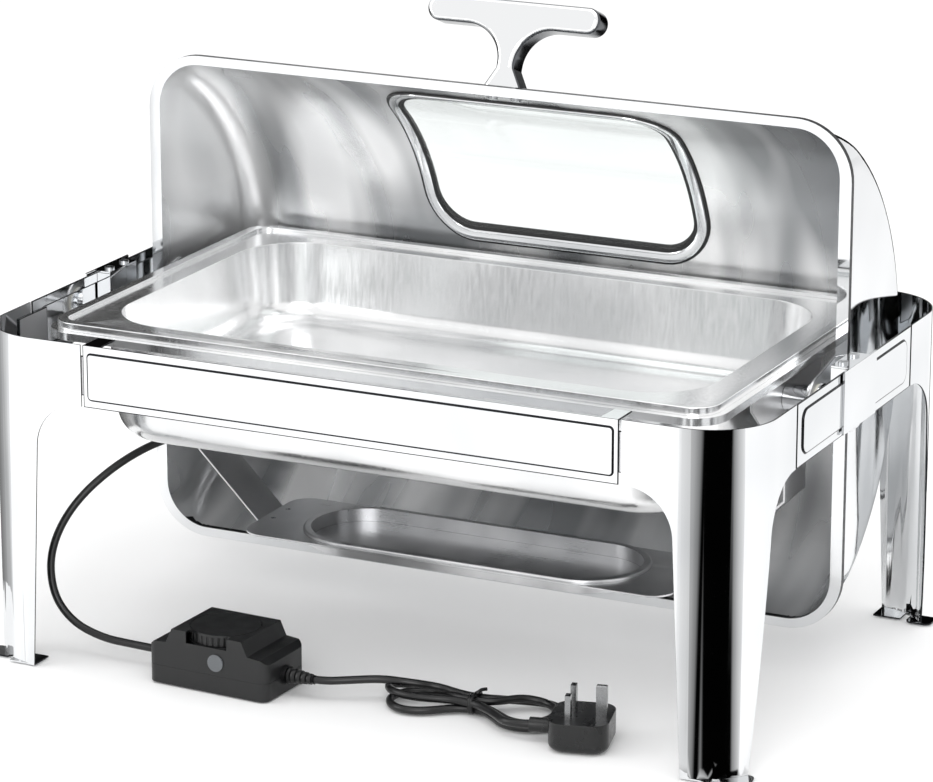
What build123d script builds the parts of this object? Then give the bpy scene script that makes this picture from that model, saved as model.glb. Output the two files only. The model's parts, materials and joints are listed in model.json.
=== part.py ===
"""Electric roll-top chafing dish: frame, water pan, food pan, windowed lid, heater, controller.

Millimetres.  +X is the long side, -Y the front, +Z up.  The origin is on the floor under the
middle of the frame.  The lid is built open, standing upright behind the pans.
"""
import os
from math import acos, asin, cos, pi, radians, sin, tan

from build123d import *

os.makedirs("parts", exist_ok=True)

# ---- fits and clearances ----
running_clearance = 0.05      # radial, bush on sleeve and dial on its bushing
free_gap = 0.3                # between faces that slide past each other
bolt_clearance = 0.2          # radial, bolt in a plain hole

# ---- frame ----
frame_length = 620
frame_depth = 400
frame_height = 255
frame_corner_radius = 50
frame_sheet = 1.2
rail_height = 47
seam_gap = 2
front_seam_x = 214
side_seam_y = 113.5
emboss_height = 1.0
front_panel_length = 418
front_panel_height = 35
front_panel_radius = 3
side_panel_length = 206
side_panel_height = 33
side_panel_radius = 8
splice_width = 40
splice_height = 30
lid_rest_width = 14
lid_rest_depth = 23

# ---- legs ----
front_arch_radius = 35.5
front_arch_leg_width = 56     # from the frame's end to the straight edge, at the arch
front_foot_width = 48
side_arch_radius = 40
side_arch_leg_width = 43.5
side_foot_width = 25
foot_tab_length = 20
foot_tab_width = 22
foot_tab_radius = 5
side_tab_width = 18

# ---- lid pivot ----
pivot_y = 3
pivot_z = 223
stud_radius = 4
sleeve_radius = 10
sleeve_inner_end = 256
block_thickness = 11.8
block_width = 40
block_height = 50
bracket_sheet = 1.5
bracket_width = 64
bracket_height = 44
hinge_screw_radius = 2
hinge_screw_spacing = 22
nut_width = 13
nut_height = 6.5
stud_end = 1                  # thread showing past a nut
block_radius = 15
bracket_lap = 3               # the bracket's upright runs up past its top plate by this
hinge_screw_head_radius = 3.8
hinge_screw_head = 1.6
hinge_screw_slot = 0.8
collar_radius = 13
collar_thickness = 2

# ---- lid ----
lid_length = 563
lid_depth = 375
lid_pan_clearance = 11        # from the water pan's back edge to the lid's crown
lid_wall = 1.2
lid_plan_radius = 36
lid_edge_radius = 18
lid_straight_wall = 4
rim_overhang_end = 8
rim_overhang_side = 6
rim_hem = 5
lid_mouth_y = 35.5            # plane of the rim while the lid stands open
lid_middle_z = 227.5
lid_lap = 1                   # how far the rim plate overlaps the lid's wall
arm_rivet_y = 22              # behind the mouth
arm_rivet_low = 9             # below the lid's middle
arm_rivet_high = 15           # above it
arm_back_y = 34               # behind the mouth
arm_tail_low = 20
arm_tail_high = 26
arm_corner = 8
arm_thickness = 2
arm_ring_radius = 18
bush_wall = 2
bush_flange = 1.5
rivet_radius = 2
rivet_head_radius = 4
rivet_head_height = 1.5

# ---- window ----
window_length = 226
window_height = 158
window_radius = 32
window_handle_gap = 15.6      # from the gasket to the handle's middle, along the lid
lid_fittings_x = 6            # the window and the handle stand a little right of the middle
glass_thickness = 4
gasket_lip = 9
gasket_thickness = 8

# ---- handle ----
handle_span = 141
handle_rise = 71
handle_thickness = 20
handle_depth = 22
handle_stem = 14
handle_foot = 34
handle_base_y = 53
handle_screw_spacing = 19
handle_screw_radius = 2
handle_screw_bite = 12
handle_throat_radius = 28
handle_sink = 8               # how far the foot starts below the seat, before it is cut to the curve
handle_foot_rise = 2
handle_neck_rise = 20
handle_edge_radius = 4
handle_screw_head = 2

# ---- pans ----
food_flange_length = 530
food_flange_width = 325
food_bead_edge = 0.6
food_step_wall = 1
food_flange_radius = 20
food_bowl_length = 480
food_bowl_width = 273
food_bowl_radius = 52
food_depth = 65
food_bottom_radius = 18
food_taper = 6
food_wall = 1.0
food_bead_width = 8
food_bead_height = 2.5
water_flange_margin = 5       # how far the water pan's rim shows round the food pan
water_flange_radius = 25
water_bowl_length = 490
water_bowl_width = 303
water_bowl_radius = 58
water_bottom_z = 163.5
water_bottom_radius = 22
water_taper = 5
water_wall = 1.0
water_hem = 6
water_rim_z = 252
food_rim_lift = 6             # from the water pan's rim to the top of the food pan's bead

# ---- pan supports, straps and shelf ----
support_sheet = 1.5
support_front_y = -64
support_back_y = 70
support_foot_half = 25
support_bottom_z = 178
support_ledge = 8
ledge_middle = 3
support_cheek = 22            # depth of a support's ends, below the ledge
strap_rivet_drop = 9
strap_rivet_spread = 12
strap_width = 40
strap_middle_y = 20
strap_sheet = 1.5
strap_top_z = 208
strap_bend_z = 144
strap_foot = 16
shelf_width = 100
shelf_middle_y = 16
shelf_top_z = 68
shelf_sheet = 1.5
shelf_radius = 18
well_length = 272
well_width = 84
well_depth = 8
bead_width = 6
bead_height = 2.5

# ---- heater under the water pan ----
spreader_length = 300
spreader_width = 130
spreader_thickness = 3
element_thickness = 1.5
element_margin = 8
housing_height = 17
housing_sheet = 1
housing_clearance = 0.5
heater_stud_radius = 2.5
heater_stud_x = 120
heater_stud_y = 45
heater_nut_width = 8
heater_nut_height = 4
cutout_radius = 8
cutout_height = 5
gland_radius = 7
gland_length = 15
heater_exit_y = -50
heater_exit_z = 153
gland_bore_step = 2
gland_edge_radius = 2
housing_corner = 1

# ---- controller on the table ----
controller_x = -117
controller_y = -165
controller_turn = -3
controller_length = 102
controller_width = 56
controller_end_height = 32
controller_crown_height = 44
controller_split_z = 14
controller_wall = 2
controller_corner = 7
dial_radius = 26
dial_height = 9
dial_ribs = 36
dial_rib_radius = 0.9
notch_width = 35
lens_radius = 6.5
spindle_radius = 3
controller_end_edge = (5, 4)  # bevel at the top of each low end, along and down
crown_foot_x = 35             # where the slope to the crown starts and ends
crown_top_x = 30
crown_foot_lift = 1
notch_depth = 6
lens_x = 8
lens_z = 24
lens_lip = 1
pocket_wall = 1
dial_rib_stop = 2
dial_spindle_lap = 1
board_length = 90
board_width = 46
board_screw_x = 40
board_screw_y = 18
board_screw_radius = 1.5
board_boss_radius = 4
board_head_radius = 2.8
board_head_height = 1.6
relief_flange_radius = 7
relief_flange = 3
relief_core_radius = 4.2
relief_ribs = 4
relief_rib_radius = 6
relief_rib_step = 0.3
relief_rib_start = 4.5
relief_rib_pitch = 3.2
relief_rib_width = 1.6

# ---- cords ----
cord_diameter = 6
plug_x = 172
plug_y = -166
plug_turn = 14
plug_width = 50
plug_length = 44
plug_height = 22
plug_corner = 12
plug_base_edge = 5
plug_neck_lap = 3
earth_pin = (8, 4)
earth_pin_rise = 22.7
live_pin = (4, 6.4)
live_pin_rise = 17.7
pin_edge = 1
collar_straight = 28          # straight lengths of cord at the controller, its relief and the plug
relief_straight = 14
plug_straight = 13
bend_share = 0.45             # of the shorter run, that an arc takes up

half_length = frame_length / 2
half_depth = frame_depth / 2
rail_middle_z = frame_height - rail_height / 2
cord_radius = cord_diameter / 2


def keep(builder, name):
    """Label a finished piece and write its STEP file."""
    builder.part.label = name
    export_step(builder.part, f"parts/{name}.step")


def rounded_prism(length, width, radius, z0, z1, mode=Mode.ADD):
    """Add an upright rounded block, centred on the origin, to the current part."""
    with BuildSketch(Plane.XY.offset(z0)) as outline:
        RectangleRounded(length, width, radius)
    extrude(outline.sketch, amount=z1 - z0, mode=mode)


def rod(plane, radius, length, mode=Mode.ADD, inner=0):
    """Add a rod or a tube along a plane's normal."""
    with BuildSketch(plane) as outline:
        Circle(radius)
        if inner:
            Circle(inner, mode=Mode.SUBTRACT)
    extrude(outline.sketch, amount=length, mode=mode)


def along_x(x, y, z, side=1):
    """Plane at a point with its normal along +X or -X."""
    return Plane(origin=(x, y, z), x_dir=(0, side, 0), z_dir=(side, 0, 0))


# ======================= frame =======================
def frame_ring(z0, z1):
    """The frame's whole sheet wall, as one closed ring."""
    rounded_prism(frame_length, frame_depth, frame_corner_radius, z0, z1)
    inner_length = frame_length - 2 * frame_sheet
    inner_depth = frame_depth - 2 * frame_sheet
    inner_radius = frame_corner_radius - frame_sheet
    rounded_prism(inner_length, inner_depth, inner_radius, z0, z1, Mode.SUBTRACT)


leg_inner_x = front_seam_x + seam_gap / 2
leg_inner_y = side_seam_y + seam_gap / 2
front_foot_x = half_length - front_foot_width
side_foot_y = half_depth - side_foot_width
arch_top = frame_height - rail_height
front_view = Plane(origin=(0, frame_corner_radius - half_depth, 0), x_dir=(1, 0, 0), z_dir=(0, -1, 0))
side_view = Plane(origin=(half_length + 1, 0, 0), x_dir=(0, -1, 0), z_dir=(-1, 0, 0))

with BuildPart() as corner_leg:
    frame_ring(0, frame_height)
    with BuildSketch(Plane.XY):
        with Locations((leg_inner_x, -leg_inner_y)):
            Rectangle(half_length, half_depth, align=(Align.MIN, Align.MAX))
    extrude(amount=frame_height, mode=Mode.INTERSECT)
    for view, seam, arch_x, foot_x, radius in (
        (front_view, leg_inner_x, half_length - front_arch_leg_width, front_foot_x, front_arch_radius),
        (side_view, leg_inner_y, half_depth - side_arch_leg_width, side_foot_y, side_arch_radius),
    ):
        with BuildSketch(view):
            with BuildLine():
                top = Line((seam - 1, arch_top), (arch_x - radius, arch_top))
                curve = JernArc(top @ 1, (1, 0), radius, -90)
                edge = Line(curve @ 1, (foot_x, 0))
                Polyline(edge @ 1, (seam - 1, 0), (seam - 1, arch_top))
            make_face()
        extrude(amount=frame_corner_radius + 1, mode=Mode.SUBTRACT)
    with BuildSketch(Plane.XY):
        with Locations((front_foot_x, -half_depth + frame_sheet / 2)):
            Rectangle(foot_tab_width, foot_tab_length, align=(Align.MIN, Align.MIN))
        with Locations((half_length - frame_sheet / 2, -side_foot_y)):
            Rectangle(foot_tab_length, side_tab_width, align=(Align.MAX, Align.MAX))
        fillet(vertices().group_by(Axis.Y)[-1], radius=foot_tab_radius)
    extrude(amount=frame_sheet)

with BuildPart() as leg_front_right:
    add(corner_leg.part)
with BuildPart() as leg_front_left:
    add(mirror(corner_leg.part, about=Plane.YZ, mode=Mode.PRIVATE))
with BuildPart() as leg_back_right:
    add(mirror(corner_leg.part, about=Plane.XZ, mode=Mode.PRIVATE))
with BuildPart() as leg_back_left:
    add(mirror(leg_front_left.part, about=Plane.XZ, mode=Mode.PRIVATE))
keep(leg_front_right, "leg_front_right")
keep(leg_front_left, "leg_front_left")
keep(leg_back_right, "leg_back_right")
keep(leg_back_left, "leg_back_left")

long_rail = 2 * (front_seam_x - seam_gap / 2)
short_rail = 2 * (side_seam_y - seam_gap / 2)


def rail(face, length, panel_length, panel_height, panel_radius):
    """A rail of sheet with a panel pressed outwards; face is the plane of its outside."""
    with BuildSketch(face) as strip:
        Rectangle(length, rail_height)
    extrude(strip.sketch, amount=-frame_sheet)
    with BuildSketch(face) as panel:
        RectangleRounded(panel_length, panel_height, panel_radius)
    extrude(panel.sketch, amount=emboss_height)
    edge = 2 * frame_sheet
    with BuildSketch(face.offset(-frame_sheet)) as hollow:
        RectangleRounded(panel_length - edge, panel_height - edge, panel_radius - frame_sheet)
    extrude(hollow.sketch, amount=emboss_height, mode=Mode.SUBTRACT)


front_face = Plane(origin=(0, -half_depth, rail_middle_z), x_dir=(1, 0, 0), z_dir=(0, -1, 0))
back_face = Plane(origin=(0, half_depth, rail_middle_z), x_dir=(-1, 0, 0), z_dir=(0, 1, 0))

with BuildPart() as rail_front:
    rail(front_face, long_rail, front_panel_length, front_panel_height, front_panel_radius)
    for side in (-1, 1):
        with BuildSketch(Plane.XY.offset(frame_height - frame_sheet)):
            with Locations((side * (long_rail - lid_rest_width) / 2, -half_depth)):
                Rectangle(lid_rest_width, lid_rest_depth, align=(Align.CENTER, Align.MIN))
        extrude(amount=frame_sheet)
keep(rail_front, "rail_front")

with BuildPart() as rail_back:
    rail(back_face, long_rail, front_panel_length, front_panel_height, front_panel_radius)
keep(rail_back, "rail_back")

for side, name in ((-1, "rail_left"), (1, "rail_right")):
    with BuildPart() as side_rail:
        face = along_x(side * half_length, 0, rail_middle_z, side)
        rail(face, short_rail, side_panel_length, side_panel_height, side_panel_radius)
    keep(side_rail, name)

splice_half_x = half_length - frame_sheet * 1.5
splice_half_y = half_depth - frame_sheet * 1.5
with BuildPart() as splice_plates:
    for sx in (-1, 1):
        for sy in (-1, 1):
            with Locations((sx * front_seam_x, sy * splice_half_y, rail_middle_z)):
                Box(splice_width, frame_sheet, splice_height)
            with Locations((sx * splice_half_x, sy * side_seam_y, rail_middle_z)):
                Box(frame_sheet, splice_width, splice_height)
keep(splice_plates, "splice_plates")

# ======================= lid pivots =======================
block_outer_x = half_length - frame_sheet
block_inner_x = block_outer_x - block_thickness
bracket_outer_x = half_length + emboss_height + bracket_sheet
bracket_top_z = frame_height + bracket_sheet
screw_depth = 14

for side, name in ((-1, "left"), (1, "right")):
    with BuildPart() as pivot_block:
        with Locations((side * (block_outer_x + block_inner_x) / 2, pivot_y, frame_height)):
            Box(block_thickness, block_width, block_height, align=(Align.CENTER, Align.CENTER, Align.MAX))
        fillet(pivot_block.edges().filter_by(Axis.X).group_by(Axis.Z)[0], radius=block_radius)
        stud_hole = along_x(side * block_inner_x, pivot_y, pivot_z, side)
        rod(stud_hole, stud_radius, block_thickness, Mode.SUBTRACT)
        for dy in (-hinge_screw_spacing / 2, hinge_screw_spacing / 2):
            with BuildSketch(Plane.XY.offset(frame_height)):
                with Locations((side * (block_outer_x + block_inner_x) / 2, pivot_y + dy)):
                    Circle(hinge_screw_radius)
            extrude(amount=-screw_depth, mode=Mode.SUBTRACT)
    keep(pivot_block, f"pivot_block_{name}")

    with BuildPart() as hinge_bracket:
        with BuildSketch(Plane.XZ.offset(-pivot_y - bracket_width / 2)):
            with Locations((side * bracket_outer_x, bracket_top_z)):
                leg_align = (Align.MAX if side > 0 else Align.MIN, Align.MAX)
                Rectangle(bracket_sheet, bracket_height + bracket_lap, align=leg_align)
        extrude(amount=bracket_width)
        with BuildSketch(Plane.XY.offset(frame_height)):
            with Locations((side * (bracket_outer_x + block_inner_x) / 2, pivot_y)):
                Rectangle(bracket_outer_x - block_inner_x, block_width)
        extrude(amount=bracket_sheet)
        for dy in (-hinge_screw_spacing / 2, hinge_screw_spacing / 2):
            with BuildSketch(Plane.XY.offset(frame_height)):
                with Locations((side * (block_outer_x + block_inner_x) / 2, pivot_y + dy)):
                    Circle(hinge_screw_radius)
            extrude(amount=bracket_sheet, mode=Mode.SUBTRACT)
    keep(hinge_bracket, f"hinge_bracket_{name}")

    with BuildPart() as pivot_sleeve:
        start = along_x(side * sleeve_inner_end, pivot_y, pivot_z, side)
        rod(start, sleeve_radius, block_inner_x - sleeve_inner_end, inner=stud_radius + bolt_clearance)
    keep(pivot_sleeve, f"pivot_sleeve_{name}")

with BuildPart() as hinge_screws:
    for side in (-1, 1):
        for dy in (-hinge_screw_spacing / 2, hinge_screw_spacing / 2):
            spot = (side * (block_outer_x + block_inner_x) / 2, pivot_y + dy)
            with BuildSketch(Plane.XY.offset(bracket_top_z)):
                with Locations(spot):
                    Circle(hinge_screw_radius)
            extrude(amount=-screw_depth)
            with BuildSketch(Plane.XY.offset(bracket_top_z)):
                with Locations(spot):
                    Circle(hinge_screw_head_radius)
                    Rectangle(1.4 * hinge_screw_head_radius, hinge_screw_slot, mode=Mode.SUBTRACT)
            extrude(amount=hinge_screw_head)
keep(hinge_screws, "hinge_screws")

stud_inner_x = sleeve_inner_end - support_sheet - nut_height - stud_end
with BuildPart() as pivot_studs:
    for side in (-1, 1):
        rod(along_x(side * stud_inner_x, pivot_y, pivot_z, side), stud_radius, block_outer_x - stud_inner_x)
keep(pivot_studs, "pivot_studs")

with BuildPart() as pivot_nuts:
    for side in (-1, 1):
        nut_face = along_x(side * (sleeve_inner_end - support_sheet), pivot_y, pivot_z, -side)
        with BuildSketch(nut_face):
            RegularPolygon(nut_width / 2, 6, major_radius=False)
            Circle(stud_radius, mode=Mode.SUBTRACT)
        extrude(amount=nut_height)
keep(pivot_nuts, "pivot_nuts")

# ======================= lid =======================
water_flange_length = food_flange_length + 2 * water_flange_margin
water_flange_width = food_flange_width + 2 * water_flange_margin
lid_rise = water_flange_width / 2 + lid_pan_clearance - lid_mouth_y
arm_outer_x = lid_length / 2 - lid_wall
arm_inner_x = arm_outer_x - arm_thickness
bush_inner_x = arm_inner_x - bush_flange
bush_outer_x = arm_outer_x + bush_flange
lid_mouth = Plane(origin=(0, lid_mouth_y, lid_middle_z), x_dir=(1, 0, 0), z_dir=(0, 1, 0))
crown_y = lid_mouth_y + lid_rise
arc_rise = lid_rise - lid_straight_wall
lid_radius = ((lid_depth / 2) ** 2 + arc_rise ** 2) / (2 * arc_rise)
lid_axis_y = crown_y - lid_radius


def dome(inset, mode=Mode.ADD):
    """The lid's bulk: a rounded block under a barrel curve, its top edge rounded over."""
    with BuildPart(mode=Mode.PRIVATE) as bulk:
        with BuildSketch(lid_mouth):
            RectangleRounded(lid_length - 2 * inset, lid_depth - 2 * inset, lid_plan_radius - inset)
        extrude(amount=lid_rise)
        barrel = Plane(origin=(-lid_length, lid_axis_y, lid_middle_z), x_dir=(0, 1, 0), z_dir=(1, 0, 0))
        rod(barrel, lid_radius - inset, 2 * lid_length, Mode.INTERSECT)
        top = bulk.faces().filter_by(GeomType.CYLINDER).sort_by(Axis.Y)[-1]
        fillet(top.edges(), radius=lid_edge_radius - inset)
    add(bulk.part, mode=mode)


def barrel_shell(inner, outer, mode=Mode.ADD):
    """A tube round the lid's barrel axis, used to cut curved plates to shape."""
    plane = Plane(origin=(-lid_length, lid_axis_y, lid_middle_z), x_dir=(0, 1, 0), z_dir=(1, 0, 0))
    rod(plane, outer, 2 * lid_length, mode, inner=inner)


# The handle stands near the rim; the window comes below it, so both follow the lid's curve.
handle_angle = acos((handle_base_y - lid_axis_y) / lid_radius)
window_step = window_height / 2 + gasket_lip + window_handle_gap
window_angle = handle_angle - asin(window_step / lid_radius)
window_dir = (0, cos(window_angle), sin(window_angle))
window_plane = Plane(origin=(lid_fittings_x, lid_axis_y, lid_middle_z), x_dir=(1, 0, 0), z_dir=window_dir)


def window_prism(grow, mode=Mode.ADD):
    """A rounded block pointing out through the window, wider than it by grow on every side."""
    with BuildSketch(window_plane.offset(lid_radius / 2)) as outline:
        RectangleRounded(window_length + 2 * grow, window_height + 2 * grow, window_radius + grow)
    extrude(outline.sketch, amount=lid_radius, mode=mode)


# The handle stands square on the curve, so it leans back with it; its T runs along X.
handle_seat_z = lid_middle_z + lid_radius * sin(handle_angle)
handle_up = (0, cos(handle_angle), sin(handle_angle))
handle_face = Plane(origin=(lid_fittings_x, handle_base_y, handle_seat_z), x_dir=(1, 0, 0),
                    z_dir=(0, -handle_up[2], handle_up[1]))


def handle_screw_plane(side):
    """Plane on the lid's outside at one of the handle's screws, with its normal outwards."""
    return Plane(origin=(lid_fittings_x + side * handle_screw_spacing / 2, handle_base_y, handle_seat_z),
                 x_dir=(1, 0, 0), z_dir=handle_up)


rivet_y = lid_mouth_y + arm_rivet_y
rivet_spots = ((rivet_y, lid_middle_z - arm_rivet_low), (rivet_y, lid_middle_z + arm_rivet_high))
with BuildPart() as lid_shell:
    dome(0)
    dome(lid_wall, Mode.SUBTRACT)
    rim_length = lid_length + 2 * rim_overhang_end
    rim_depth = lid_depth + 2 * rim_overhang_side
    rim_radius = lid_plan_radius + rim_overhang_end
    with BuildSketch(lid_mouth):
        RectangleRounded(rim_length, rim_depth, rim_radius)
        RectangleRounded(lid_length - 2 * lid_lap, lid_depth - 2 * lid_lap, lid_plan_radius - lid_lap,
                         mode=Mode.SUBTRACT)
    extrude(amount=lid_wall)
    with BuildSketch(lid_mouth):
        RectangleRounded(rim_length, rim_depth, rim_radius)
        inner_rim = (rim_length - 2 * lid_wall, rim_depth - 2 * lid_wall)
        RectangleRounded(*inner_rim, rim_radius - lid_wall, mode=Mode.SUBTRACT)
    extrude(amount=rim_hem)
    window_prism(0, Mode.SUBTRACT)
    for side in (-1, 1):
        for y, z in rivet_spots:
            spot = along_x(side * arm_inner_x, y, z, side)
            rod(spot, rivet_radius, arm_thickness + 2 * lid_wall, Mode.SUBTRACT)
    for side in (-1, 1):
        rod(handle_screw_plane(side).offset(-lid_wall - 1), handle_screw_radius, lid_wall + 2, Mode.SUBTRACT)
keep(lid_shell, "lid_shell")

glass_outer = lid_radius - lid_wall / 2 + glass_thickness / 2
glass_inner = glass_outer - glass_thickness
with BuildPart() as window_glass:
    window_prism(-free_gap)
    barrel_shell(glass_inner, glass_outer, Mode.INTERSECT)
keep(window_glass, "window_glass")

gasket_middle = lid_radius - lid_wall / 2
with BuildPart() as window_gasket:
    window_prism(gasket_lip)
    window_prism(-gasket_lip / 2, Mode.SUBTRACT)
    gasket_half = gasket_thickness / 2
    barrel_shell(gasket_middle - gasket_half, gasket_middle + gasket_half, Mode.INTERSECT)
    add(lid_shell.part, mode=Mode.SUBTRACT)
    add(window_glass.part, mode=Mode.SUBTRACT)
keep(window_gasket, "window_gasket")

wing_bottom = handle_rise - handle_thickness
with BuildPart() as lid_handle:
    with BuildSketch(handle_face.offset(-handle_depth / 2)):
        with BuildLine():
            foot = Polyline((0, -handle_sink), (handle_foot / 2, -handle_sink),
                            (handle_foot / 2, handle_foot_rise),
                            (handle_stem / 2, handle_neck_rise),
                            (handle_stem / 2, wing_bottom - handle_throat_radius))
            throat = JernArc(foot @ 1, (0, 1), handle_throat_radius, -90)
            under = Line(throat @ 1, ((handle_span - handle_thickness) / 2, wing_bottom))
            tip = JernArc(under @ 1, (1, 0), handle_thickness / 2, 180)
            Line(tip @ 1, (0, handle_rise))
            mirror(about=Plane.YZ)
        make_face()
    extrude(amount=handle_depth)
    fillet(lid_handle.faces().filter_by(handle_face).edges(), radius=handle_edge_radius)
    barrel_shell(0, lid_radius, Mode.SUBTRACT)
    for side in (-1, 1):
        rod(handle_screw_plane(side).offset(-lid_wall), handle_screw_radius, handle_screw_bite + lid_wall,
            Mode.SUBTRACT)
keep(lid_handle, "lid_handle")

with BuildPart() as handle_screws:
    for side in (-1, 1):
        seat = handle_screw_plane(side).offset(-lid_wall - 0.1)
        rod(seat, handle_screw_radius, lid_wall + 0.1 + handle_screw_bite)
        rod(seat.offset(-handle_screw_head), 2 * handle_screw_radius, handle_screw_head)
keep(handle_screws, "handle_screws")

for side, name in ((-1, "left"), (1, "right")):
    with BuildPart() as lid_arm:
        with BuildSketch(along_x(side * arm_inner_x, 0, 0, 1)):
            with BuildLine():
                back = lid_mouth_y + arm_back_y
                low = Line((pivot_y, pivot_z - arm_ring_radius), (back, lid_middle_z - arm_tail_low))
                high = Line((back, lid_middle_z + arm_tail_high), (pivot_y, pivot_z + arm_ring_radius))
                Line(low @ 1, high @ 0)
                Line(high @ 1, low @ 0)
            make_face()
            fillet(vertices().group_by(Axis.Y)[-1], radius=arm_corner)
            with Locations((pivot_y, pivot_z)):
                Circle(arm_ring_radius)
                Circle(sleeve_radius + running_clearance + bush_wall, mode=Mode.SUBTRACT)
            with Locations(*rivet_spots):
                Circle(rivet_radius, mode=Mode.SUBTRACT)
        extrude(amount=side * arm_thickness)
    keep(lid_arm, f"lid_arm_{name}")

    with BuildPart() as arm_bush:
        bore = sleeve_radius + running_clearance
        inner_face = along_x(side * bush_inner_x, pivot_y, pivot_z, side)
        rod(inner_face, bore + bush_wall, arm_thickness + 2 * bush_flange, inner=bore)
        rod(inner_face, bore + 2 * bush_wall, bush_flange, inner=bore)
    keep(arm_bush, f"arm_bush_{name}")

with BuildPart() as arm_rivets:
    for side in (-1, 1):
        for y, z in rivet_spots:
            rod(along_x(side * arm_inner_x, y, z, side), rivet_radius, arm_thickness + lid_wall)
            rod(along_x(side * arm_inner_x, y, z, -side), rivet_head_radius, rivet_head_height)
            rod(along_x(side * lid_length / 2, y, z, side), rivet_head_radius, rivet_head_height)
keep(arm_rivets, "arm_rivets")

with BuildPart() as sleeve_collars:
    for side in (-1, 1):
        inside = along_x(side * (bush_inner_x - free_gap), pivot_y, pivot_z, -side)
        outside = along_x(side * (bush_outer_x + free_gap), pivot_y, pivot_z, side)
        rod(inside, collar_radius, collar_thickness, inner=sleeve_radius)
        rod(outside, collar_radius, collar_thickness, inner=sleeve_radius)
keep(sleeve_collars, "sleeve_collars")

# ======================= pans =======================
water_flange_top = water_rim_z
food_top_z = water_rim_z + food_rim_lift
food_ledge_top = food_top_z - food_bead_height


def bowl(length, width, radius, taper, bottom_radius, top_z, bottom_z, mode=Mode.ADD):
    """A tapered, rounded tub, widest at its top."""
    with BuildPart(mode=Mode.PRIVATE) as tub:
        with BuildSketch(Plane.XY.offset(top_z)):
            RectangleRounded(length, width, radius)
        extrude(amount=-(top_z - bottom_z), taper=taper)
        fillet(tub.edges().group_by(Axis.Z)[0], radius=bottom_radius)
    add(tub.part, mode=mode)


def flange(length, width, radius, top_z, thickness, mode=Mode.ADD):
    """A flat rounded plate, used to build up and cut out a pan's rim."""
    rounded_prism(length, width, radius, top_z - thickness, top_z, mode)


with BuildPart() as water_pan:
    bowl(water_bowl_length, water_bowl_width, water_bowl_radius, water_taper, water_bottom_radius,
         water_flange_top, water_bottom_z)
    flange(water_flange_length, water_flange_width, water_flange_radius, water_flange_top, water_wall)
    with BuildPart(mode=Mode.PRIVATE) as hem:
        flange(water_flange_length, water_flange_width, water_flange_radius, water_flange_top, water_hem)
        inner = 2 * water_wall
        flange(water_flange_length - inner, water_flange_width - inner, water_flange_radius - water_wall,
               water_flange_top, water_hem, Mode.SUBTRACT)
    add(hem.part)
    bowl(water_bowl_length - inner, water_bowl_width - inner, water_bowl_radius - water_wall, water_taper,
         water_bottom_radius - water_wall, water_flange_top, water_bottom_z + water_wall, Mode.SUBTRACT)
    for sx in (-heater_stud_x, heater_stud_x):
        for sy in (-heater_stud_y, heater_stud_y):
            stud = Plane(origin=(sx, sy, water_bottom_z), z_dir=(0, 0, -1))
            rod(stud, heater_stud_radius, housing_height + heater_nut_height + 1)
keep(water_pan, "water_pan")

with BuildPart() as food_pan:
    bowl(food_bowl_length, food_bowl_width, food_bowl_radius, food_taper, food_bottom_radius,
         food_ledge_top, food_top_z - food_depth)
    flange(food_flange_length, food_flange_width, food_flange_radius, food_ledge_top, food_wall)
    with BuildPart(mode=Mode.PRIVATE) as bead:
        skirt = food_top_z - water_flange_top
        flange(food_flange_length, food_flange_width, food_flange_radius, food_top_z, skirt)
        inner = 2 * food_wall
        flange(food_flange_length - inner, food_flange_width - inner, food_flange_radius - food_wall,
               food_top_z - food_wall, skirt, Mode.SUBTRACT)
        inner = 2 * food_bead_width
        flange(food_flange_length - inner, food_flange_width - inner, food_flange_radius - food_bead_width,
               food_top_z, skirt, Mode.SUBTRACT)
        fillet(bead.edges().group_by(Axis.Z)[-1].sort_by(SortBy.LENGTH)[-4:], radius=food_bead_edge)
    add(bead.part)
    with BuildPart(mode=Mode.PRIVATE) as step:
        inner = 2 * food_bead_width
        around = inner - 2 * food_step_wall
        flange(food_flange_length - around, food_flange_width - around,
               food_flange_radius - food_bead_width + food_step_wall, food_top_z,
               food_bead_height + food_wall)
        flange(food_flange_length - inner, food_flange_width - inner, food_flange_radius - food_bead_width,
               food_top_z, food_bead_height + food_wall, Mode.SUBTRACT)
    add(step.part)
    inner = 2 * food_wall
    bowl(food_bowl_length - inner, food_bowl_width - inner, food_bowl_radius - food_wall, food_taper,
         food_bottom_radius - food_wall, food_ledge_top, food_top_z - food_depth + food_wall, Mode.SUBTRACT)
keep(food_pan, "food_pan")

# ======================= pan supports, straps, shelf =======================
ledge_top_z = water_flange_top - water_wall
strap_low_x = sleeve_inner_end - (strap_bend_z - shelf_top_z + shelf_sheet)
shelf_length = 2 * strap_low_x
strap_rivet_y = [strap_middle_y - strap_rivet_spread, strap_middle_y + strap_rivet_spread]
strap_rivet_spots = [(y, strap_top_z - strap_rivet_drop) for y in strap_rivet_y]
shelf_rivet_x = strap_low_x - strap_foot / 2

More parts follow.
